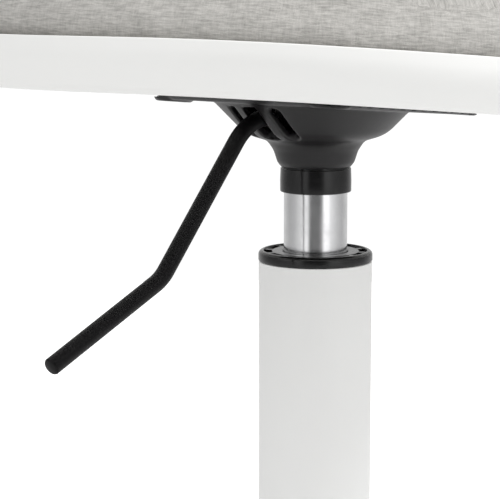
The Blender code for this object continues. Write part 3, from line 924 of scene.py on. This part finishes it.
class STOOL_OT_cushion(StoolOperator):
    """Padded seat: fabric swollen by cloth simulation over the foam"""

    bl_idname, bl_label = "stool.cushion", "Cushion"

    def build(self, sizes):
        top = SHELL_FLOOR + sizes.rim_height / MM
        crown = top + sizes.crown / MM
        edge, slope, middle = (crown - drop for drop in PAD_TOP_DROP)
        start = [(0, 19.7), (184.2, 19.7, 1), (184.2, top + 3), (182.6, top + 9, 12),
                 (181.6, top + 21, 8), (174, edge, 14), (140, slope, 80), (0, middle)]
        pad = turned("seat_cushion", start, 96, "grey_fabric", arc_steps=4)
        add_voxels(pad, 0.005)
        settle(pad)
        rest = [vertex.co.copy() for vertex in pad.data.vertices]
        self.swell(pad, top)
        self.hold_back(pad, rest)
        self.fit_rim(pad, sizes, top, crown)
        finer = pad.modifiers.new("finer", "SUBSURF")
        finer.levels = finer.render_levels = 1
        settle(pad)
        self.sew_seam(pad, crown)
        self.map_cloth(pad)
        coat(pad.data, "grey_fabric")
        pad.data.transform(tilt_matrix(sizes))
        pad.data.shade_smooth()
        self.install(pad, "seat", "grey_fabric", "cushion_cover", "foam_pad")

        hem = turned("cushion_hem", [(174.6, 9.5), (184.9, 9.5, 2), (184.9, 19.4, 0.4),
                                     (174.6, 19.4)], sizes.steps, "grey_fabric", arc_steps=4)
        self.map_cloth(hem)
        hem.data.transform(tilt_matrix(sizes))
        self.install(hem, "seat", "grey_fabric")

    @staticmethod
    def swell(pad, top):
        """Blow the cover up a little with Cloth; what sits in the shell is pinned."""
        pinned = pad.vertex_groups.new(name="pinned")
        for vertex in pad.data.vertices:
            hold = 1.0 - (vertex.co.z / MM - top) / 12.0
            pinned.add([vertex.index], min(max(hold, 0.0), 1.0), "REPLACE")
        cloth = pad.modifiers.new("swell", "CLOTH")
        for name, value in {
                "quality": 6, "mass": 0.3, "tension_stiffness": 15, "compression_stiffness": 15,
                "bending_stiffness": 3.0, "vertex_group_mass": pinned.name,
                "use_pressure": True, "uniform_pressure_force": 4.0}.items():
            setattr(cloth.settings, name, value)
        cloth.settings.effector_weights.gravity = 0.0
        cloth.point_cache.frame_start = 1
        cloth.point_cache.frame_end = 20
        scene = bpy.context.scene
        for number in range(1, 21):
            scene.frame_set(number)
        settle(pad)
        scene.frame_set(1)

    @staticmethod
    def hold_back(pad, rest):
        """Cap how far a point has moved."""
        for vertex, before in zip(pad.data.vertices, rest):
            step = vertex.co - before
            if step.length > COVER_GIVE:
                vertex.co = before + step.normalized() * COVER_GIVE

    @staticmethod
    def fit_rim(pad, sizes, top, crown):
        """Keep the pad inside the shell's wall, and under its highest point."""
        wall = sizes.seat_radius - 5.0 * MM
        for vertex in pad.data.vertices:
            point = vertex.co
            radius = math.hypot(point.x, point.y)
            if radius > wall:
                point.x *= wall / radius
                point.y *= wall / radius
            point.z = min(max(point.z, 19.6 * MM), (crown + 2.0) * MM)

    @staticmethod
    def sew_seam(pad, crown):
        """Press a shallow valley along the seam between side band and top panel."""
        normals = [vertex.normal.copy() for vertex in pad.data.vertices]
        for vertex, normal in zip(pad.data.vertices, normals):
            x, y, z = vertex.co
            away = math.hypot(math.hypot(x, y) - SEAM_RADIUS * MM,
                              z - (crown - SEAM_DROP) * MM) / (3.2 * MM)
            vertex.co -= normal * 1.1 * MM * math.exp(-away * away)

    @staticmethod
    def map_cloth(pad):
        """Lay the weave flat on the top panel, and around the side band."""
        mesh = pad.data
        layer = mesh.uv_layers.new(name="cloth")
        band = 0.184
        for face in mesh.polygons:
            centre = face.center
            side = (math.hypot(centre.x, centre.y) > SEAM_RADIUS * MM
                    or face.normal.z < -0.5)
            base = math.atan2(centre.y, centre.x)
            for loop in face.loop_indices:
                point = mesh.vertices[mesh.loops[loop].vertex_index].co
                if side:
                    angle = math.atan2(point.y, point.x)
                    angle += math.tau * round((base - angle) / math.tau)
                    layer.data[loop].uv = (angle * band, point.z)
                else:
                    layer.data[loop].uv = (point.x, point.y + 1.0)


class STOOL_OT_inner_parts(StoolOperator):
    """Finishes of the pieces that keep the frame's own shape"""

    bl_idname, bl_label = "stool.inner_parts", "Inner parts"

    KEPT = {
        "plain_steel": ("column_socket", "base_screw_", "column_bottom", "lower_race",
                        "upper_race", "gas_piston", "rod_clip", "tee_nut_"),
        "cast_iron": ("base_weight",),
        "brass": ("ball_cage", "gas_valve"),
        "polished_steel": ("bearing_ball_", "piston_rod", "release_pin"),
        "black_rubber": ("rod_bumper", "rod_seal"),
        "black_plastic": ("lever_bush",),
        "plywood": ("seat_board",),
    }

    def build(self, _):
        for slot, stems in self.KEPT.items():
            for name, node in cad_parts.items():
                if name.startswith(stems):
                    coat(node.data, slot)
        bare = [name for name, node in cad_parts.items()
                if not node.hide_render and not node.data.materials[0].name.startswith("finish_")]
        if bare:
            raise RuntimeError(f"these pieces have no finish: {bare}")


class STOOL_OT_stage(StoolOperator):
    """Pale floor, soft studio light, and the camera"""

    bl_idname, bl_label = "stool.stage", "Stage"

    AZIMUTH = math.radians(42.0)
    PITCH = math.radians(8.64)
    AIM_HEIGHT = 0.350
    AIM_SIDE = -0.02887
    DISTANCE = 0.8757
    LENS = 142.8

    def build(self, _):
        scene = bpy.context.scene
        self.floor()
        self.world(scene)
        self.lamps()
        self.camera(scene)
        scene.view_settings.view_transform = "Standard"

    def floor(self):
        """A pale round floor."""
        solid = bmesh.new()
        bmesh.ops.create_circle(solid, cap_ends=True, segments=128, radius=2.0)
        bmesh.ops.translate(solid, verts=solid.verts, vec=(0, 0, -0.0004))
        mesh = mesh_from(solid, bpy.data.meshes.new("studio_floor"))
        floor = new_object("studio_floor", mesh)
        material = bpy.data.materials.new("pale_floor")
        material.use_nodes = True
        paint = Paint(material)
        paint.surface(Base_Color=(0.8, 0.8, 0.8, 1.0), Roughness=0.9, Specular_IOR_Level=0.0)
        glow = paint.node("ShaderNodeEmission", {"Strength": 0.55})
        bright = paint.node("ShaderNodeAddShader",
                            {0: paint.shader.outputs[0], 1: glow.outputs[0]})
        seen = paint.node("ShaderNodeLightPath").outputs["Is Camera Ray"]
        mixed = paint.node("ShaderNodeMixShader",
                           {0: seen, 1: paint.shader.outputs[0], 2: bright.outputs[0]})
        paint.feed(material.node_tree.nodes["Material Output"].inputs["Surface"],
                   mixed.outputs[0])
        floor.data.materials.append(material)

    def world(self, scene):
        """White to the camera, an even tent as light, and softboxes in reflections."""
        world = bpy.data.worlds.new("studio")
        scene.world = world
        world.use_nodes = True
        tree = Tree(world.node_tree)
        world.node_tree.nodes.clear()
        path = tree.node("ShaderNodeLightPath")
        x, y, z = tree.split(tree.node("ShaderNodeTexCoord").outputs["Generated"])
        right = x * math.cos(self.AZIMUTH) + y * math.sin(self.AZIMUTH)
        front = x * math.sin(self.AZIMUTH) - y * math.cos(self.AZIMUTH)
        turn = tree.math("ARCTAN2", right, front) / math.tau + 0.5
        boxes = tree.node("ShaderNodeValToRGB", {0: turn}, stops=[
            (0.00, 0.75), (0.10, 0.68), (0.20, 0.45), (0.27, 0.52), (0.34, 0.78),
            (0.385, 1.08), (0.415, 1.05), (0.440, 0.13), (0.530, 0.12), (0.560, 0.35),
            (0.580, 1.35), (0.625, 1.30), (0.650, 0.92), (0.73, 0.60), (0.80, 0.48),
            (0.88, 0.66), (1.00, 0.75)])
        tent = 0.80 + 0.08 * right + 0.22 * z
        light, gloss, white = (
            tree.node("ShaderNodeBackground", {"Color": tint, "Strength": strength})
            for tint, strength in ((tree.join(tent, tent, tent), 1.0), (boxes.outputs[0], 1.0),
                                   ((1.0, 1.0, 1.0, 1.0), 1.05)))
        lit = tree.node("ShaderNodeMixShader", {
            0: path.outputs["Is Glossy Ray"], 1: light.outputs[0], 2: gloss.outputs[0]})
        seen = tree.node("ShaderNodeMixShader", {
            0: path.outputs["Is Camera Ray"], 1: lit.outputs[0], 2: white.outputs[0]})
        tree.node("ShaderNodeOutputWorld", {0: seen.outputs[0]})

    def lamps(self):
        """A soft key from the right and above, and a weaker fill from the left."""
        for name, turn, height, reach, size, power in (
                ("key", 78.0, 2.1, 1.45, 1.1, 26.0), ("fill", -60.0, 1.2, 2.0, 1.6, 3.0)):
            azimuth = self.AZIMUTH + math.radians(turn)
            place = Vector((math.sin(azimuth) * reach, -math.cos(azimuth) * reach, height))
            lamp = bpy.data.lights.new(name, "AREA")
            lamp.shape = "DISK"
            lamp.size = size
            lamp.energy = power
            obj = new_object(name, lamp)
            aim = Vector((0, 0, self.AIM_HEIGHT)) - place
            turned_to = aim.to_track_quat("-Z", "Y").to_matrix().to_4x4()
            obj.matrix_world = Matrix.Translation(place) @ turned_to

    def camera(self, scene):
        """Looks slightly down at the joint between column and seat."""
        right = Vector((math.cos(self.AZIMUTH), math.sin(self.AZIMUTH), 0))
        back = Vector((math.sin(self.AZIMUTH) * math.cos(self.PITCH),
                       -math.cos(self.AZIMUTH) * math.cos(self.PITCH), math.sin(self.PITCH)))
        aim = Vector((0, 0, self.AIM_HEIGHT)) + right * self.AIM_SIDE
        data = bpy.data.cameras.new("camera")
        data.lens = self.LENS
        data.sensor_width = 36.0
        data.clip_start = 0.02
        obj = new_object("camera", data)
        up = back.cross(right)
        turn = Matrix((right, up, back)).transposed().to_4x4()
        obj.matrix_world = Matrix.Translation(aim + back * self.DISTANCE) @ turn
        scene.camera = obj


class STOOL_PT_panel(bpy.types.Panel):
    """Lists the stool's operators and sizes"""

    bl_idname = "STOOL_PT_panel"
    bl_label = "Adjustable swivel stool"
    bl_space_type = "VIEW_3D"
    bl_region_type = "UI"
    bl_category = "Stool"

    def draw(self, context):
        layout = self.layout
        for operator in OPERATORS:
            layout.operator(operator.bl_idname)
        for group in (context.scene.stool_sizes, context.scene.stool_colours):
            box = layout.box()
            for name in group.__annotations__:
                box.prop(group, name)


OPERATORS = (STOOL_OT_base, STOOL_OT_column, STOOL_OT_gas_lift, STOOL_OT_mount_plate,
             STOOL_OT_plate_bolts, STOOL_OT_lever, STOOL_OT_seat_shell, STOOL_OT_cushion,
             STOOL_OT_inner_parts, STOOL_OT_stage)
CLASSES = (StoolSizes, StoolColours, *OPERATORS, STOOL_PT_panel)


def register():
    """Register the classes and hang the properties on the scene."""
    for item in CLASSES:
        bpy.utils.register_class(item)
    bpy.types.Scene.stool_sizes = PointerProperty(type=StoolSizes)
    bpy.types.Scene.stool_colours = PointerProperty(type=StoolColours)


def unregister():
    """Take the properties and classes away again."""
    del bpy.types.Scene.stool_colours
    del bpy.types.Scene.stool_sizes
    for item in reversed(CLASSES):
        bpy.utils.unregister_class(item)


def main():
    """Build the whole stool and its stage."""
    register()
    for operator in OPERATORS:
        group, name = operator.bl_idname.split(".")
        getattr(getattr(bpy.ops, group), name)()


if __name__ == "__main__":
    main()
